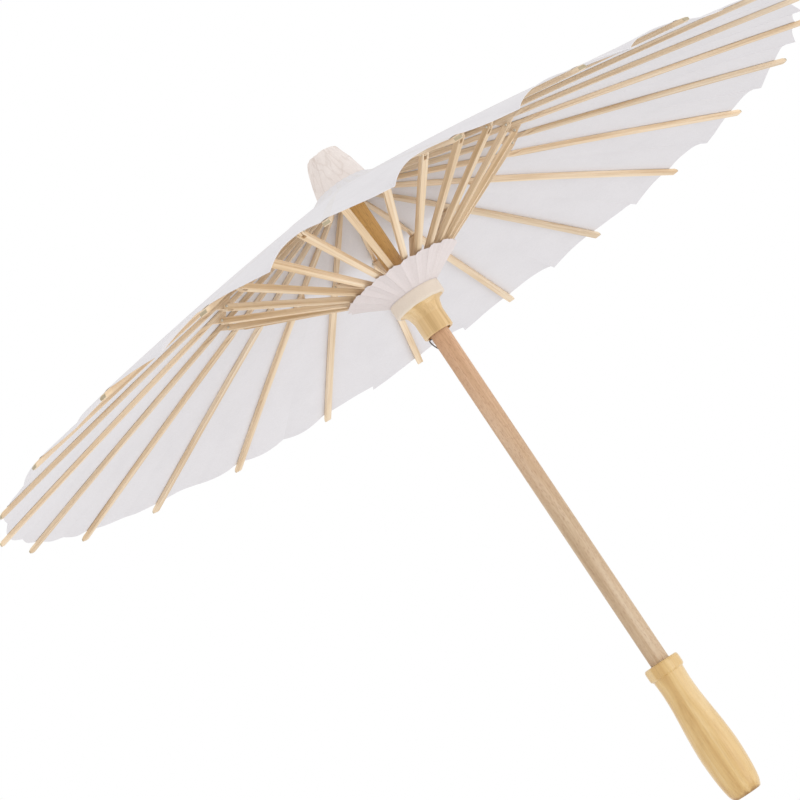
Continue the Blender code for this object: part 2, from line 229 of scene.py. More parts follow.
def tube(name, route, radius_at, finish, sides):
    """A closed tube along a list of points; radius_at takes the share of the way along."""
    points = []
    last = len(route) - 1
    ring_side = Vector((0, 0, 1))
    for k, centre in enumerate(route):
        ahead = (route[min(k + 1, last)] - route[max(k - 1, 0)]).normalized()
        ring_side = (ring_side - ahead * ring_side.dot(ahead)).normalized()
        across = ahead.cross(ring_side)
        for side in range(sides):
            angle = 2 * math.pi * side / sides
            arm = ring_side * math.cos(angle) + across * math.sin(angle)
            points.append(centre + arm * radius_at(k / last))
    faces = grid_faces(len(route), sides, closed=True)
    faces.append(tuple(reversed(range(sides))))
    faces.append(tuple(range(last * sides, (last + 1) * sides)))
    made = piece(name, points, faces, finish)
    face_outwards(made)
    return made


# Shader nodes. A value is a number, a colour or another node's output.


def new_material(name, roughness, metallic=0.0):
    made = bpy.data.materials.new(name)
    made.use_nodes = True
    shader = made.node_tree.nodes["Principled BSDF"]
    shader.inputs["Roughness"].default_value = roughness
    shader.inputs["Metallic"].default_value = metallic
    return made, made.node_tree, shader


def feed(tree, socket, value):
    """Links an output to the socket, or sets a number or a colour on it."""
    if isinstance(value, bpy.types.NodeSocket):
        tree.links.new(value, socket)
    elif isinstance(value, tuple):
        socket.default_value = (*value, 1.0)
    else:
        socket.default_value = value


def math_node(tree, operation, *values):
    made = tree.nodes.new("ShaderNodeMath")
    made.operation = operation
    for socket, value in zip(made.inputs, values):
        feed(tree, socket, value)
    return made.outputs[0]


def combined(tree, x, y, z):
    made = tree.nodes.new("ShaderNodeCombineXYZ")
    for socket, value in zip(made.inputs, (x, y, z)):
        feed(tree, socket, value)
    return made.outputs[0]


def place(tree):
    """The x, y and z of a point of the piece, in metres."""
    coordinates = tree.nodes.new("ShaderNodeTexCoord")
    split = tree.nodes.new("ShaderNodeSeparateXYZ")
    tree.links.new(coordinates.outputs["Object"], split.inputs[0])
    return split.outputs


def scaled(tree, xyz, x, y, z):
    """The place in cells of noise, with that many cells in a metre along each axis."""
    cells = [math_node(tree, "MULTIPLY", value, by) for value, by in zip(xyz, (x, y, z))]
    return combined(tree, *cells)


def noise_node(tree, vector, detail, roughness, distortion=0.0):
    made = tree.nodes.new("ShaderNodeTexNoise")
    made.inputs["Scale"].default_value = 1.0
    made.inputs["Detail"].default_value = detail
    made.inputs["Roughness"].default_value = roughness
    made.inputs["Distortion"].default_value = distortion
    tree.links.new(vector, made.inputs["Vector"])
    return made.outputs["Fac"]


def ramp(tree, value, stops):
    """Colours through (position, colour) stops."""
    made = tree.nodes.new("ShaderNodeValToRGB")
    elements = made.color_ramp.elements
    while len(elements) < len(stops):
        elements.new(0.5)
    for element, (position, colour) in zip(elements, stops):
        element.position = position
        element.color = (*colour, 1.0)
    tree.links.new(value, made.inputs["Fac"])
    return made.outputs["Color"]


def mixed(tree, share, first, second, kind="MIX"):
    """Two colours mixed, with a share of the second."""
    made = tree.nodes.new("ShaderNodeMix")
    made.data_type = "RGBA"
    made.blend_type = kind
    for name, value in (("Factor_Float", share), ("A_Color", first), ("B_Color", second)):
        feed(tree, next(s for s in made.inputs if s.identifier == name), value)
    return next(s for s in made.outputs if s.identifier == "Result_Color")


def span(tree, value, low, high):
    """A 0 to 1 value brought to the range from low to high."""
    made = tree.nodes.new("ShaderNodeMapRange")
    made.inputs["To Min"].default_value = low
    made.inputs["To Max"].default_value = high
    tree.links.new(value, made.inputs["Value"])
    return made.outputs["Result"]


def bumped(tree, shader, *layers):
    """Bump from (height, depth in metres) layers, one over the other."""
    under = None
    for height, depth in layers:
        made = tree.nodes.new("ShaderNodeBump")
        made.inputs["Strength"].default_value = 1.0
        made.inputs["Distance"].default_value = depth
        tree.links.new(height, made.inputs["Height"])
        if under is not None:
            tree.links.new(under, made.inputs["Normal"])
        under = made.outputs["Normal"]
    tree.links.new(under, shader.inputs["Normal"])


# Materials


def radial_place(tree, slope):
    """Coordinates of a bar on its own radius: along it, across it, through it, and which bar."""
    x, y, z = place(tree)
    angle = math_node(tree, "ARCTAN2", y, x)
    which = math_node(tree, "ROUND", math_node(tree, "DIVIDE", angle, PITCH))
    turn = math_node(tree, "SUBTRACT", angle, math_node(tree, "MULTIPLY", which, PITCH))
    x_square, y_square = (math_node(tree, "MULTIPLY", value, value) for value in (x, y))
    radius = math_node(tree, "SQRT", math_node(tree, "ADD", x_square, y_square))
    across = math_node(tree, "MULTIPLY", radius, math_node(tree, "SINE", turn))
    cosine, sine = math.cos(slope), math.sin(slope)
    along = math_node(tree, "MULTIPLY_ADD", z, sine, math_node(tree, "MULTIPLY", radius, cosine))
    through = math_node(
        tree, "MULTIPLY_ADD", radius, -sine, math_node(tree, "MULTIPLY", z, cosine)
    )
    return along, across, through, which


def end_of(tip, slope):
    """How far along a bar its end grain starts, in the coordinates of radial_place."""
    depth = tip.y * math.cos(slope) - tip.x * math.sin(slope)
    return tip.x * math.cos(slope) + tip.y * math.sin(slope) + END_SLANT * depth - END_GRAIN


def bamboo(name, slope, dark, middle, light, end):
    """Split bamboo: long fibres, a tone of its own for each bar and end grain cut at a slant."""
    made, tree, shader = new_material(name, 0.5)
    along, across, through, which = radial_place(tree, slope)
    shift = math_node(tree, "MULTIPLY", which, 3.7)  # so that no two bars look the same

    def bar_noise(lengthwise, crosswise, detail, roughness):
        cells = combined(
            tree,
            math_node(tree, "MULTIPLY_ADD", along, lengthwise, shift),
            math_node(tree, "MULTIPLY", across, crosswise),
            math_node(tree, "MULTIPLY", through, crosswise),
        )
        return noise_node(tree, cells, detail, roughness)

    fibres = bar_noise(14.0, 1500.0, 3.0, 0.6)
    broad = bar_noise(9.0, 260.0, 2.0, 0.5)
    each = tree.nodes.new("ShaderNodeTexWhiteNoise")
    each.noise_dimensions = "1D"
    tree.links.new(which, each.inputs["W"])
    colour = ramp(tree, broad, [(0.28, dark), (0.5, middle), (0.74, light)])
    streak_stops = [(0.30, (0.80, 0.70, 0.60)), (0.50, (1.0, 1.0, 1.0)), (0.8, (1.05, 1.05, 1.05))]
    colour = mixed(tree, 0.75, colour, ramp(tree, fibres, streak_stops), "MULTIPLY")
    tone = span(tree, each.outputs["Value"], 0.88, 1.06)
    colour = mixed(tree, 1.0, colour, combined(tree, tone, tone, tone), "MULTIPLY")
    slanted = math_node(tree, "MULTIPLY_ADD", through, END_SLANT, along)
    past_end = math_node(tree, "SUBTRACT", slanted, end)
    past_end = math_node(tree, "MULTIPLY", past_end, 1 / END_GRAIN_FADE)
    past_end = math_node(tree, "MINIMUM", math_node(tree, "MAXIMUM", past_end, 0.0), 1.0)
    colour = mixed(tree, math_node(tree, "MULTIPLY", past_end, 0.7), colour, (0.30, 0.27, 0.17))
    tree.links.new(colour, shader.inputs["Base Color"])
    tree.links.new(span(tree, fibres, 0.42, 0.66), shader.inputs["Roughness"])
    bumped(tree, shader, (fibres, 0.12 * MM), (broad, 0.15 * MM))
    return made


def turned_wood(name, dark, middle, light, roughness, fleck=None, coat=0.0, height_tones_and_painted_light=()):
    """Wood with its grain along the shaft: soft bands, fine pores and, on some, dark flecks.

    height_tones_and_painted_light are (height, colour) stops that multiply its colour along its length:
    painted light and shade, and on the handle its darker end grain as well.
    """
    made, tree, shader = new_material(name, roughness)
    xyz = place(tree)
    bands = noise_node(tree, scaled(tree, xyz, 170.0, 170.0, 7.0), 3.0, 0.5, 0.6)
    grain = noise_node(tree, scaled(tree, xyz, 1500.0, 1500.0, 28.0), 3.0, 0.6)
    colour = ramp(tree, bands, [(0.3, dark), (0.5, middle), (0.72, light)])
    line_stops = [(0.32, (0.84, 0.79, 0.72)), (0.55, (1.0, 1.0, 1.0)), (0.8, (1.05, 1.04, 1.02))]
    colour = mixed(tree, 0.7, colour, ramp(tree, grain, line_stops), "MULTIPLY")
    if fleck:
        pores = noise_node(tree, scaled(tree, xyz, 2300.0, 2300.0, 330.0), 2.0, 0.5)
        spots = ramp(tree, pores, [(0.56, (0.0, 0.0, 0.0)), (0.68, (1.0, 1.0, 1.0))])
        colour = mixed(tree, math_node(tree, "MULTIPLY", spots, 0.6), colour, fleck)
    # Colour multiplied by height stops with noisy edges: painted light and shade along the length.
    if height_tones_and_painted_light:
        centred = math_node(tree, "SUBTRACT", xyz[2], 4 * MM)
        uneven = math_node(tree, "MULTIPLY_ADD", bands, 8 * MM, centred)
        share = math_node(tree, "DIVIDE", uneven, cad_high.z)
        height_tint_and_painted_light = ramp(tree, share, [(height / cad_high.z, tone) for height, tone in height_tones_and_painted_light])
        colour = mixed(tree, 1.0, colour, height_tint_and_painted_light, "MULTIPLY")
    tree.links.new(colour, shader.inputs["Base Color"])
    shine = span(tree, grain, roughness - 0.06, roughness + 0.1)
    tree.links.new(shine, shader.inputs["Roughness"])
    shader.inputs["Coat Weight"].default_value = coat
    shader.inputs["Coat Roughness"].default_value = 0.22
    bumped(tree, shader, (bands, 0.1 * MM), (grain, 0.06 * MM))
    return made


def paper(name, colour, shade, cockle, cockle_depth, fibre_depth=0.04 * MM, crease=None):
    """Matt handmade paper: long pale fibres, soft mottling and cockles from its drying.

    cockle is the number of cockles in a metre. crease is the colour of painted shade along
    fine creases, for paper that is crumpled.
    """
    made, tree, shader = new_material(name, 0.72)
    xyz = place(tree)
    mottle = noise_node(tree, scaled(tree, xyz, 22.0, 22.0, 22.0), 3.0, 0.6)
    soft = noise_node(tree, scaled(tree, xyz, cockle, cockle, cockle), 3.0, 0.5, 0.8)
    fibres = noise_node(tree, scaled(tree, xyz, 900.0, 420.0, 600.0), 5.0, 0.7, 1.8)
    fine = noise_node(tree, scaled(tree, xyz, 3200.0, 3200.0, 3200.0), 2.0, 0.6)
    base = ramp(tree, mottle, [(0.3, shade), (0.62, colour)])
    thread_stops = [(0.35, (0.955, 0.95, 0.945)), (0.55, (1.0, 1.0, 1.0)), (0.72, (1.03, 1.03, 1.03))]
    base = mixed(tree, 0.85, base, ramp(tree, fibres, thread_stops), "MULTIPLY")
    # Painted shade: thin darker lines along the valleys of two noises, where crumpled creases would lie
    # in shade.
    if crease:
        for cells, width in ((75.0, 0.055), (150.0, 0.035)):
            folds = noise_node(tree, scaled(tree, xyz, cells, cells, cells * 0.3), 1.0, 0.5, 0.2)
            valley = math_node(tree, "ABSOLUTE", math_node(tree, "SUBTRACT", folds, 0.5))
            line = ramp(tree, valley, [(0.0, (1.0, 1.0, 1.0)), (width, (0.0, 0.0, 0.0))])
            base = mixed(tree, math_node(tree, "MULTIPLY", line, 0.3), base, crease)
    tree.links.new(base, shader.inputs["Base Color"])
    tree.links.new(span(tree, fibres, 0.62, 0.85), shader.inputs["Roughness"])
    shader.inputs["Specular IOR Level"].default_value = 0.35
    bumped(tree, shader, (soft, cockle_depth), (fibres, fibre_depth), (fine, 0.3 * fibre_depth))
    return made


def twine_material():
    """Cotton thread: the twist of its strands and loose fuzz."""
    made, tree, shader = new_material("cotton_twine", 0.9)
    x, y, z = place(tree)
    lean = math_node(tree, "MULTIPLY_ADD", z, 1.2, math_node(tree, "ADD", x, y))
    waves = math_node(tree, "SINE", math_node(tree, "MULTIPLY", lean, 9000.0))
    fuzz = noise_node(tree, scaled(tree, (x, y, z), 4000.0, 4000.0, 4000.0), 3.0, 0.7)
    # Painted shade: the colour is dark in the grooves of the twist, where the bump is low, and light on
    # the strands.
    twist = span(tree, waves, 0.35, 1.0)
    colour = mixed(tree, twist, (0.42, 0.36, 0.26), (0.80, 0.74, 0.62))
    tree.links.new(colour, shader.inputs["Base Color"])
    tree.links.new(span(tree, fuzz, 0.8, 1.0), shader.inputs["Roughness"])
    bumped(tree, shader, (twist, 0.08 * MM), (fuzz, 0.04 * MM))
    return made


def wire_material():
    """Drawn steel wire, darkened, with fine lines along it and brighter rubbed spots."""
    made, tree, shader = new_material("spring_wire", 0.35, 1.0)
    xyz = place(tree)
    lines = noise_node(tree, scaled(tree, xyz, 5000.0, 5000.0, 160.0), 3.0, 0.6)
    spots = noise_node(tree, scaled(tree, xyz, 700.0, 700.0, 700.0), 3.0, 0.6)
    colour = ramp(tree, spots, [(0.35, (0.10, 0.095, 0.09)), (0.7, (0.30, 0.29, 0.28))])
    tree.links.new(colour, shader.inputs["Base Color"])
    tree.links.new(span(tree, lines, 0.25, 0.5), shader.inputs["Roughness"])
    bumped(tree, shader, (lines, 0.02 * MM))
    return made


def floor_material():
    made, tree, shader = new_material("studio_floor", 0.9)
    cloud = noise_node(tree, scaled(tree, place(tree), 3.0, 3.0, 3.0), 2.0, 0.5)
    colour = ramp(tree, cloud, [(0.3, (0.93, 0.93, 0.93)), (0.7, (0.95, 0.95, 0.95))])
    tree.links.new(colour, shader.inputs["Base Color"])
    return made


rib_bamboo = bamboo(
    "rib_bamboo",
    RIB_SLOPE,
    (0.66, 0.47, 0.28),
    (0.82, 0.64, 0.44),
    (0.91, 0.76, 0.58),
    end_of(RIB_TIP, RIB_SLOPE),
)
stretcher_bamboo = bamboo(
    "stretcher_bamboo",
    STRETCHER_SLOPE,
    (0.67, 0.46, 0.25),
    (0.85, 0.65, 0.43),
    (0.93, 0.77, 0.58),
    end_of(PIVOT, STRETCHER_SLOPE) + STRETCHER_END,
)
hub_wood = turned_wood(
    "hub_wood", (0.62, 0.41, 0.18), (0.76, 0.53, 0.26), (0.86, 0.65, 0.38), 0.42, coat=0.1
)
shaft_wood = turned_wood(
    "shaft_wood",
    (0.50, 0.35, 0.21),
    (0.60, 0.44, 0.285),
    (0.69, 0.54, 0.38),
    0.55,
    fleck=(0.36, 0.20, 0.12),
    # painted bounce light and shade: the upper shaft, under the canopy, warmer and more orange
    height_tones_and_painted_light=[
        (0.20, (1.0, 1.0, 1.0)),
        (0.33, (1.10, 0.92, 0.84)),
        (0.375, (1.15, 0.92, 0.76)),
        (0.40, (1.27, 1.02, 0.52)),
    ],
)
handle_wood = turned_wood(
    "handle_wood",
    (0.60, 0.37, 0.13),
    (0.70, 0.47, 0.19),
    (0.79, 0.58, 0.30),
    0.3,
    coat=0.35,
    # the bottom end darker: its end grain, and partly painted shade on the end face
    height_tones_and_painted_light=[(0.0, (0.55, 0.46, 0.38)), (1.6 * MM, (0.93, 0.91, 0.88)), (6 * MM, (1.0, 1.0, 1.0))],
)
white_paper = paper(
    "white_paper", (0.775, 0.755, 0.775), (0.745, 0.725, 0.745), 55.0, 0.15 * MM, 0.02 * MM
)
# Paper of the strips, a little darker and warmer than the panels: the rib showing through it, and
# partly a painted shadow of the rib.
strip_paper_painted_rib_shade = paper(
    "strip_paper_painted_rib_shade", (0.765, 0.74, 0.745), (0.735, 0.71, 0.71), 55.0, 0.15 * MM, 0.02 * MM
)
skirt_paper = paper("skirt_paper", (0.77, 0.70, 0.69), (0.72, 0.65, 0.64), 160.0, 0.12 * MM)
band_paper = paper("band_paper", (0.83, 0.73, 0.62), (0.75, 0.65, 0.54), 120.0, 0.12 * MM)
cap_finish = paper(
    "cap_finish",
    (0.87, 0.80, 0.76),
    (0.79, 0.70, 0.65),
    190.0,
    0.6 * MM,
    0.1 * MM,
    # painted shade in the cap's creases
    crease=(0.60, 0.50, 0.44),
)
cotton_twine = twine_material()
spring_steel = wire_material()


# Ribs and stretchers


def rib_centre(radius):
    """Height of the middle of a rib: steep beside the crown, then slightly bowed."""
    start = RIB_STRAIGHT_FROM
    if radius <= start.x:
        share = (radius - HINGE.x) / (start.x - HINGE.x)
        return HINGE.y + (start.y - HINGE.y) * share
    share = (radius - start.x) / (RIB_TIP.x - start.x)
    return start.y + (RIB_TIP.y - start.y) * share + RIB_BOW * math.sin(math.pi * share)


def dress_node(name, finish, bevel=None):
    """A CAD node that stays, with its finish and softened edges."""
    node = nodes[name]
    node.data.materials.clear()
    node.data.materials.append(finish)
    for polygon in node.data.polygons:
        polygon.material_index = 0
    if bevel:
        weld = node.modifiers.new("weld", "WELD")
        weld.merge_threshold = 0.01 * MM
        edge = node.modifiers.new("edge", "BEVEL")
        edge.width = bevel
        edge.segments = 2
        edge.limit_method = "ANGLE"
        edge.angle_limit = SHARP_ANGLE


def dress_bars():
    for k in range(1, RIB_COUNT + 1):
        dress_node(f"rib_{k:02d}", rib_bamboo, BAR_BEVEL)
        dress_node(f"stretcher_{k:02d}", stretcher_bamboo, BAR_BEVEL)


def make_pins():
    """A pin through each fork, with a small head of knotted thread at both ends."""
    # Places along the pin, in halves of the fork's width, and its radius there in millimetres
    stations = [-1.55, -1.45, -1.3, -1.18, -1.06, -1.0, 0, 1.0, 1.06, 1.18, 1.3, 1.45, 1.55]
    radii = [0.15, 0.55, 0.85, 0.95, 0.8, 0.5, 0.5, 0.5, 0.8, 0.95, 0.85, 0.55, 0.15]
    route = [Vector((PIVOT.x, FORK_WIDTH / 2 * station, PIVOT.y)) for station in stations]

    def radius_at(share):
        return radii[round(share * (len(radii) - 1))] * MM

    for k in range(RIB_COUNT):
        made = tube(f"pivot_pin_{k + 1:02d}", route, radius_at, cotton_twine, 12)
        made.matrix_world = Matrix.Rotation(k * PITCH, 4, "Z")
        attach(made, f"stretcher_{k + 1:02d}")


# Canopy


def strip_half(radius):
    """Half the width of the paper that stays on a rib."""
    share = (radius - PAPER_INNER) / (PAPER_OUTER - PAPER_INNER)
    return STRIP_HALF_INNER + (STRIP_HALF_OUTER - STRIP_HALF_INNER) * share


def paper_height(radius, from_rib):
    """Height of the paper at an angle from its rib: flat facets, a little folded at the crease."""
    facet = radius * math.cos(HALF - from_rib) / math.cos(HALF)
    fold = CREASE_DEPTH * (radius / PAPER_OUTER) ** 1.3 * (from_rib / HALF) ** 1.4
    return rib_centre(facet) + RIB_DEPTH / 2 + PAPER_LIFT - fold


def rim_radius(angle, share, step, lobe):
    """Radius of the rim at an angle from the rib, share of the way from strip to crease."""
    chord = PAPER_OUTER * math.cos(HALF) / math.cos(HALF - angle)
    return chord + step * share**1.3 + lobe * math.sin(math.pi * share)


def rim_shape(azimuth, side, chance):
    """How far the rim of a half panel stands out at its crease, and in its middle."""
    from_middle = abs((azimuth - STEPPED_MIDDLE + math.pi) % (2 * math.pi) - math.pi)
    stepped = min(1.0, max(0.0, (STEPPED_REACH - from_middle) / STEPPED_FADE))
    own_step = LONG_STEP if side > 0 else SHORT_STEP
    step = own_step * stepped + 0.3 + chance.uniform(-0.5, 0.5)
    lobe = chance.uniform(-0.3, 0.6) * stepped + chance.uniform(-0.5, 3.0) * (1 - stepped)
    return step * MM, lobe * MM


def rim_droop(azimuth, side, across):
    """How far the loose rim hangs, across a half panel: on side -1 sharply beside the crease."""
    drop = NEAR_DROP * max(0.0, -math.sin(azimuth)) ** 3
    drop += STEPPED_DROP * max(0.0, math.cos(azimuth - STEPPED_MIDDLE))
    if side > 0:
        return -drop * MM * across**0.9
    return drop * MM * (0.45 * math.sin(math.pi * across) - across**7)


def half_panel(k, side):
    """Half a panel of paper, from the strip on rib k to the crease on that side."""
    chance = random.Random(1000 + 10 * k + side)
    step, lobe = rim_shape((k + side / 4) * PITCH, side, chance)
    curl = chance.uniform(-1.6, 1.2) * MM
    turn = Matrix.Rotation(k * PITCH, 3, "Z")
    rim_edge = math.atan2(STRIP_HALF_OUTER, PAPER_OUTER)
    points = []
    for row in range(PAPER_ROWS):
        share = (row / (PAPER_ROWS - 1)) ** ROW_SPREAD
        for column in range(PANEL_COLUMNS):
            across = column / (PANEL_COLUMNS - 1)
            rim = rim_radius(rim_edge + (HALF - rim_edge) * across, across, step, lobe)
            radius = PAPER_INNER + (rim - PAPER_INNER) * share
            edge = math.atan2(strip_half(radius), radius)
            angle = edge + (HALF - edge) * across
            point = Vector((radius * math.cos(angle), side * radius * math.sin(angle), 0))
            free = 4 * across * (1 - across)  # 0 where the paper is held, 1 in the middle
            wave = noise.noise((turn @ point) * 21) + 0.5 * noise.noise((turn @ point) * 55)
            ripple = RIPPLE * wave * free * min(1, radius / RIPPLE_FROM)
            rim_curl = curl * free * share**7
            droop = rim_droop((k + side / 2) * PITCH, side, across) * share**8
            point.z = paper_height(radius, angle) + ripple + rim_curl + droop
            points.append(point)
    name = f"canopy_panel_{k + 1:02d}" + ("a" if side > 0 else "b")
    faces = grid_faces(PAPER_ROWS, PANEL_COLUMNS, flipped=side > 0)
    made = piece(name, points, faces, white_paper)
    made.matrix_world = Matrix.Rotation(k * PITCH, 4, "Z")
    solidify(made, PAPER_THICKNESS)
    return made


def rib_strip(k):
    """The paper glued along a rib, pressed over it a little."""
    points = []
    for row in range(PAPER_ROWS):
        share = (row / (PAPER_ROWS - 1)) ** ROW_SPREAD
        radius = PAPER_INNER + (PAPER_OUTER - PAPER_INNER) * share
        for column in range(STRIP_COLUMNS):
            across = 2 * column / (STRIP_COLUMNS - 1) - 1
            angle = math.atan2(strip_half(radius), radius) * across
            height = paper_height(radius, abs(angle)) + STRIP_EMBOSS * (1 - across**4)
            points.append((radius * math.cos(angle), radius * math.sin(angle), height))
    faces = grid_faces(PAPER_ROWS, STRIP_COLUMNS, flipped=True)
    made = piece(f"canopy_strip_{k + 1:02d}", points, faces, strip_paper_painted_rib_shade)
    made.matrix_world = Matrix.Rotation(k * PITCH, 4, "Z")
    solidify(made, PAPER_THICKNESS)
    return made


def make_canopy():
    for k in range(RIB_COUNT):
        body = f"rib_{k + 1:02d}"
        strip = rib_strip(k)
        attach(strip, body)
        if k == 0:
            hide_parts("canopy")
        for side in (1, -1):
            panel = half_panel(k, side)
            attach(panel, body)
            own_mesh(panel)


# Skirt and runner paper


def skirt_petal(k):
    """The pleat of the skirt under one stretcher, from crease to crease."""
    line = smoothed(SKIRT_LINE, 4)
    chance = random.Random(500 + k)
    shift = [chance.uniform(-0.8, 0.8) * MM, chance.uniform(-0.8, 0.8) * MM]
    points = []
    for row, centre in enumerate(line):
        share = row / (len(line) - 1)
        for column in range(PLEAT_COLUMNS):
            across = 2 * column / (PLEAT_COLUMNS - 1) - 1
            away = abs(across)
            ripple = 4 * away * (1 - away) * shift[0 if across < 0 else 1]
            tooth = max(0.0, 1 - abs(across - 0.35) / 0.65) if across > -0.3 else 0.0
            reach = PLEAT_POINT * away**1.2 - PLEAT_POINT + 1.5 * tooth * (1 - away)
            radius = centre.x + (reach * MM + ripple) * share**2
            angle = HALF * across
            pleat = PLEAT_DEPTH * share**0.7 * away**1.6
            crinkle = 0.25 * MM * math.sin(3 * math.pi * across + k) * share * (1 - across**2)
            height = centre.y - pleat + crinkle
            points.append((radius * math.cos(angle), radius * math.sin(angle), height))
    faces = grid_faces(len(line), PLEAT_COLUMNS, flipped=True)
    made = piece(f"skirt_pleat_{k + 1:02d}", points, faces, skirt_paper)
    made.matrix_world = Matrix.Rotation(k * PITCH, 4, "Z")
    solidify(made, 0.2 * MM, -1.0)
    return made


def make_skirt():
    for k in range(RIB_COUNT):
        made = skirt_petal(k)
        body = f"stretcher_{k + 1:02d}"
        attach(made, body)
        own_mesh(made)
        if k == 0:
            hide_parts("runner_skirt")


def paper_ring(name, line, steps, finish, wobble):
    """A paper ring along a (radius, height) line; wobble moves a point by (angle, share)."""
    points = []
    for row, centre in enumerate(line):
        share = row / (len(line) - 1)
        for step in range(steps):
            angle = 2 * math.pi * step / steps
            out, up = wobble(angle, share)
            radius = centre.x + out
            points.append((radius * math.cos(angle), radius * math.sin(angle), centre.y + up))
    return piece(name, points, grid_faces(len(line), steps, closed=True), finish)


def make_runner_paper():
    """The paper round the flange, and the collar that hides the roots of the stretchers."""
    edge = 0.25 * MM
    band_line = [
        Vector((FLANGE_RADIUS - 1.6 * MM, FLANGE_LOW_Z - 0.2 * MM)),
        Vector((FLANGE_RADIUS - 0.4 * MM, FLANGE_LOW_Z + 0.1 * MM)),
        Vector((FLANGE_RADIUS + edge, FLANGE_LOW_Z + 0.9 * MM)),
        Vector((FLANGE_RADIUS + edge, FLANGE_LOW_Z + 4 * MM)),
        Vector((FLANGE_RADIUS + edge, FLANGE_TOP_Z - 1 * MM)),
        Vector((FLANGE_RADIUS + edge - 0.2 * MM, FLANGE_TOP_Z + 0.2 * MM)),
    ]

    def band_wobble(angle, share):
        wave = noise.noise(Vector((math.cos(angle) * 2.5, math.sin(angle) * 2.5, share * 2)))
        return 0.16 * MM * abs(wave), 0.3 * MM * wave * (1 - share)

    band = paper_ring("flange_band", smoothed(band_line, 3), 120, band_paper, band_wobble)
    solidify(band, 0.12 * MM)
    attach(band, "runner")
    collar_line = [
        Vector((17.3 * MM, FLANGE_TOP_Z + 0.3 * MM)),
        Vector((17.6 * MM, 372.2 * MM)),
        Vector((18.0 * MM, 375 * MM)),
        Vector((18.4 * MM, 376.2 * MM)),
    ]

    def collar_wobble(angle, share):
        return 0.3 * MM * share * math.cos(RIB_COUNT * angle), 0.0

    collar = paper_ring("skirt_collar", smoothed(collar_line, 3), 184, skirt_paper, collar_wobble)
    solidify(collar, 0.15 * MM, -1.0)
    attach(collar, "runner")


# Crown cap


def make_cap():
    """The paper cap: a wrinkled cone gathered over the crown, with its top folded in."""
    line = [
        Vector((18.3 * MM, 452.2 * MM)),
        Vector((17.7 * MM, 455 * MM)),
        Vector((16.6 * MM, 460 * MM)),
        Vector((15.0 * MM, 465 * MM)),
        Vector((12.9 * MM, 471 * MM)),
        Vector((11.2 * MM, 475.6 * MM)),
        Vector((10.0 * MM, 477.6 * MM)),
        Vector((8.2 * MM, 477.9 * MM)),
        Vector((5.2 * MM, 476.6 * MM)),
        Vector((3.2 * MM, 475.4 * MM)),
    ]
    crumpled_from = 0.62  # share of the line where the folded top starts

    def ridge(x, y, z):
        """Noise with sharp crests."""
        return 1 - 2 * abs(noise.noise(Vector((x, y, z))))

    def wobble(angle, share):
        cosine, sine = math.cos(angle), math.sin(angle)
        folds = ridge(cosine * 1.9 + 3, sine * 1.9, share * 0.7)
        sharp = ridge(cosine * 3.6, sine * 3.6 + 7, share * 1.8)
        fine = noise.noise(Vector((cosine * 9, sine * 9, share * 6)))
        free = 0.2 + 0.8 * math.sin(math.pi * min(1.0, share * 1.1))
        out = (0.9 * folds * share + 0.75 * sharp * free + 0.3 * fine - 0.7 * share) * MM
        crumple = max(0.0, share - crumpled_from) / (1 - crumpled_from)
        lift = 2.2 * crumple * ridge(cosine * 2.1 + 5, sine * 2.1, share * 3)
        gather = 0.7 * crumple * math.sin(9 * angle + 2 * math.sin(3 * angle))
        return out, (lift + gather - 1.9 * crumple) * MM

    cap = paper_ring("cap_paper", smoothed(line, 6), 168, cap_finish, wobble)
    solidify(cap, 0.2 * MM, -1.0)
    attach(cap, "root")
    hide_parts("crown_cap")


# Shaft, handle and catch


def make_shaft():
    """The stick, with rounded ends and the slot for the catch."""
    spans = 60
    low, high = SHAFT_LOW + SHAFT_CHAMFER, SHAFT_HIGH - SHAFT_CHAMFER
    heights = [low + (high - low) * k / spans for k in range(spans + 1)]
    outline = [(0.0, SHAFT_LOW), (SHAFT_RADIUS - SHAFT_CHAMFER, SHAFT_LOW)]
    outline += [(SHAFT_RADIUS + 0.04 * MM * noise.noise(Vector((0, 0, z * 30))), z) for z in heights]
    outline += [(SHAFT_RADIUS - SHAFT_CHAMFER, SHAFT_HIGH), (0.0, SHAFT_HIGH)]
    shaft = turned("shaft_stick", outline, shaft_wood, 64)

    corners = [
        (x, y, z)
        for x in (-SHAFT_RADIUS - 2 * MM, SLOT_FLOOR_X)
        for y in (-SLOT_HALF_WIDTH, SLOT_HALF_WIDTH)
        for z in (SLOT_LOW, SLOT_HIGH)
    ]
    faces = [(0, 1, 3, 2), (4, 6, 7, 5), (0, 4, 5, 1), (2, 3, 7, 6), (0, 2, 6, 4), (1, 5, 7, 3)]
    cutter = piece("slot_cutter", corners, faces, shaft_wood)
    boolean = shaft.modifiers.new("slot", "BOOLEAN")
    boolean.object = cutter
    graph = bpy.context.evaluated_depsgraph_get()
    cut_mesh = bpy.data.meshes.new_from_object(shaft.evaluated_get(graph))
    shaft.modifiers.clear()
    shaft.data = cut_mesh
    shaft.data.set_sharp_from_angle(angle=SHARP_ANGLE)
    bpy.data.objects.remove(cutter)
    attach(shaft, "root")
    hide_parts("shaft")


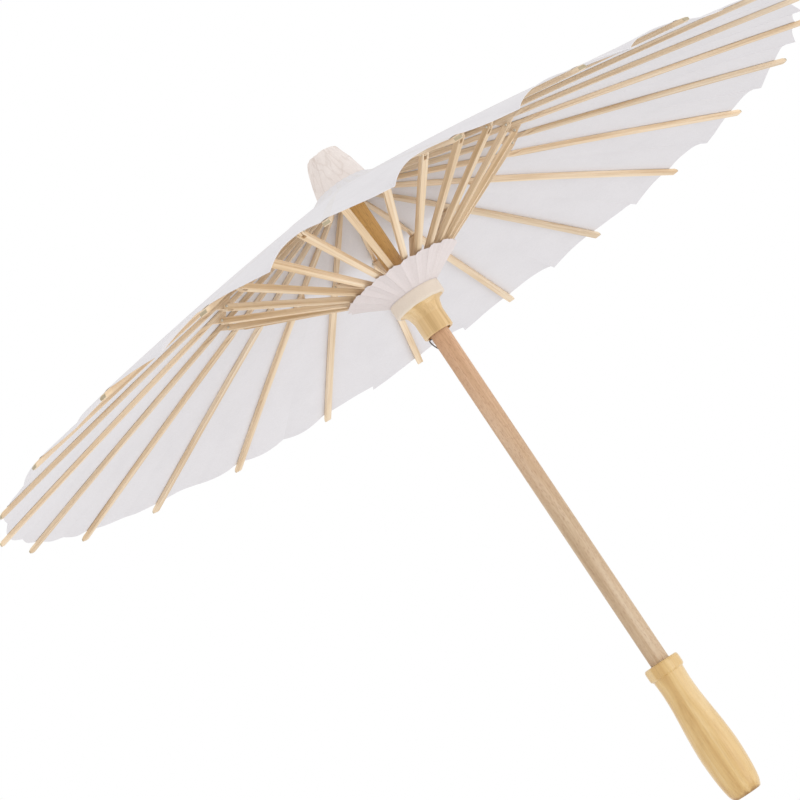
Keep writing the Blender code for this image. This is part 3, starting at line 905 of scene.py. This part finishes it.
def make_handle():
    """The turned grip: flat end with a soft edge, full belly, slim neck and a collar."""
    # (radius, height) in millimetres
    belly = [
        (9.6, 0.8),
        (10.4, 2.6),
        (11.2, 5),
        (12.1, 10.5),
        (12.7, 17),
        (13.1, 25),
        (13.2, 32),
        (12.9, 39),
        (12.5, 45),
        (11.9, 52),
        (11.2, 59),
        (10.6, 66),
        (10.3, 72),
        (10.2, 78),
        (10.4, 83),
        (10.6, 86.4),
    ]
    collar = [
        (11.2, 86.9),
        (11.8, 87.5),
        (12.0, 88.7),
        (12.0, 90),
        (12.0, 93),
        (11.7, 94.6),
        (10.9, 95.3),
    ]
    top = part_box("handle")[1].z
    bore = SHAFT_RADIUS + 0.3 * MM
    bore_bottom = SHAFT_LOW - 0.5 * MM
    outline = [(0.0, 0.0), (8.6 * MM, 0.0), (9.2 * MM, 0.2 * MM)]
    for part in (belly, collar):
        outline += [tuple(p * MM) for p in smoothed([Vector(p) for p in part], 4)]
    outline += [(bore + 0.3 * MM, top), (bore, top - 0.3 * MM), (bore, bore_bottom), (0.0, bore_bottom)]
    handle = turned("handle_grip", outline, handle_wood, 96)
    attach(handle, "root")
    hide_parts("handle")


def make_catch():
    """The bent spring wire below the runner."""
    # (distance from the axis, height) in millimetres
    route = [
        (4.6, 313.5),
        (4.6, 322),
        (4.9, 330),
        (7.2, 335.5),
        (8.15, 338.8),
        (7.95, 340.2),
        (6.4, 340.5),
        (4.6, 339.6),
    ]
    points = smoothed([Vector((-radius, 0, height)) * MM for radius, height in route], 6)
    wire = tube("catch_wire", points, lambda share: CATCH_RADIUS, spring_steel, 14)
    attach(wire, "catch")
    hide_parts("catch_spring")


# Camera, floor and light


def camera_axes(azimuth, elevation, roll):
    """The camera's right, up and back directions."""
    out = math.cos(elevation)
    back = Vector((math.sin(azimuth) * out, -math.cos(azimuth) * out, math.sin(elevation)))
    level_up = (Vector((0, 0, 1)) - back * back.z).normalized()
    level_right = level_up.cross(back)
    right = level_right * math.cos(roll) - level_up * math.sin(roll)
    up = level_up * math.cos(roll) + level_right * math.sin(roll)
    return right, up, back


def make_floor():
    """A round floor far below, which fills the picture with white under the umbrella."""
    points = [(0, 0, FLOOR_Z)]
    for k in range(FLOOR_STEPS):
        angle = 2 * math.pi * k / FLOOR_STEPS
        points.append((FLOOR_RADIUS * math.cos(angle), FLOOR_RADIUS * math.sin(angle), FLOOR_Z))
    faces = [(0, k + 1, (k + 1) % FLOOR_STEPS + 1) for k in range(FLOOR_STEPS)]
    piece("floor", points, faces, floor_material())


def make_lamp(name, direction, distance, size, power):
    """A square soft light that faces the aim from a direction."""
    data = bpy.data.lights.new(name, "AREA")
    data.size = size
    data.energy = power
    item = bpy.data.objects.new(name, data)
    item.location = AIM + direction.normalized() * distance
    item.rotation_mode = "QUATERNION"
    item.rotation_quaternion = (-direction).to_track_quat("-Z", "Y")
    bpy.context.scene.collection.objects.link(item)


def make_studio():
    """The photo's camera, a white world and one soft lamp from the right."""
    right, up, back = camera_axes(CAMERA_AZIMUTH, CAMERA_ELEVATION, CAMERA_ROLL)
    data = bpy.data.cameras.new("camera")
    data.lens = CAMERA_LENS
    data.sensor_width = CAMERA_SENSOR
    camera = bpy.data.objects.new("camera", data)
    axes = Matrix((right, up, back)).transposed().to_4x4()
    camera.matrix_world = Matrix.Translation(AIM + back * CAMERA_DISTANCE) @ axes
    bpy.context.scene.collection.objects.link(camera)
    bpy.context.scene.camera = camera

    make_floor()
    to_key = right * 0.80 + up * 0.30 + back * 0.55
    make_lamp("key", to_key, KEY_DISTANCE, KEY_SIZE, KEY_POWER)

    world = bpy.data.worlds.new("studio")
    world.use_nodes = True
    background = world.node_tree.nodes["Background"]
    background.inputs["Color"].default_value = (1, 1, 1, 1)
    background.inputs["Strength"].default_value = 1.0
    bpy.context.scene.world = world
    bpy.context.scene.view_settings.view_transform = "Standard"


make_studio()
dress_bars()
dress_node("runner", hub_wood)
dress_node("crown", hub_wood)
dress_node("crown_thread", cotton_twine)
dress_node("runner_thread", cotton_twine)
make_pins()
make_canopy()
make_skirt()
make_runner_paper()
make_cap()
make_shaft()
make_handle()
make_catch()
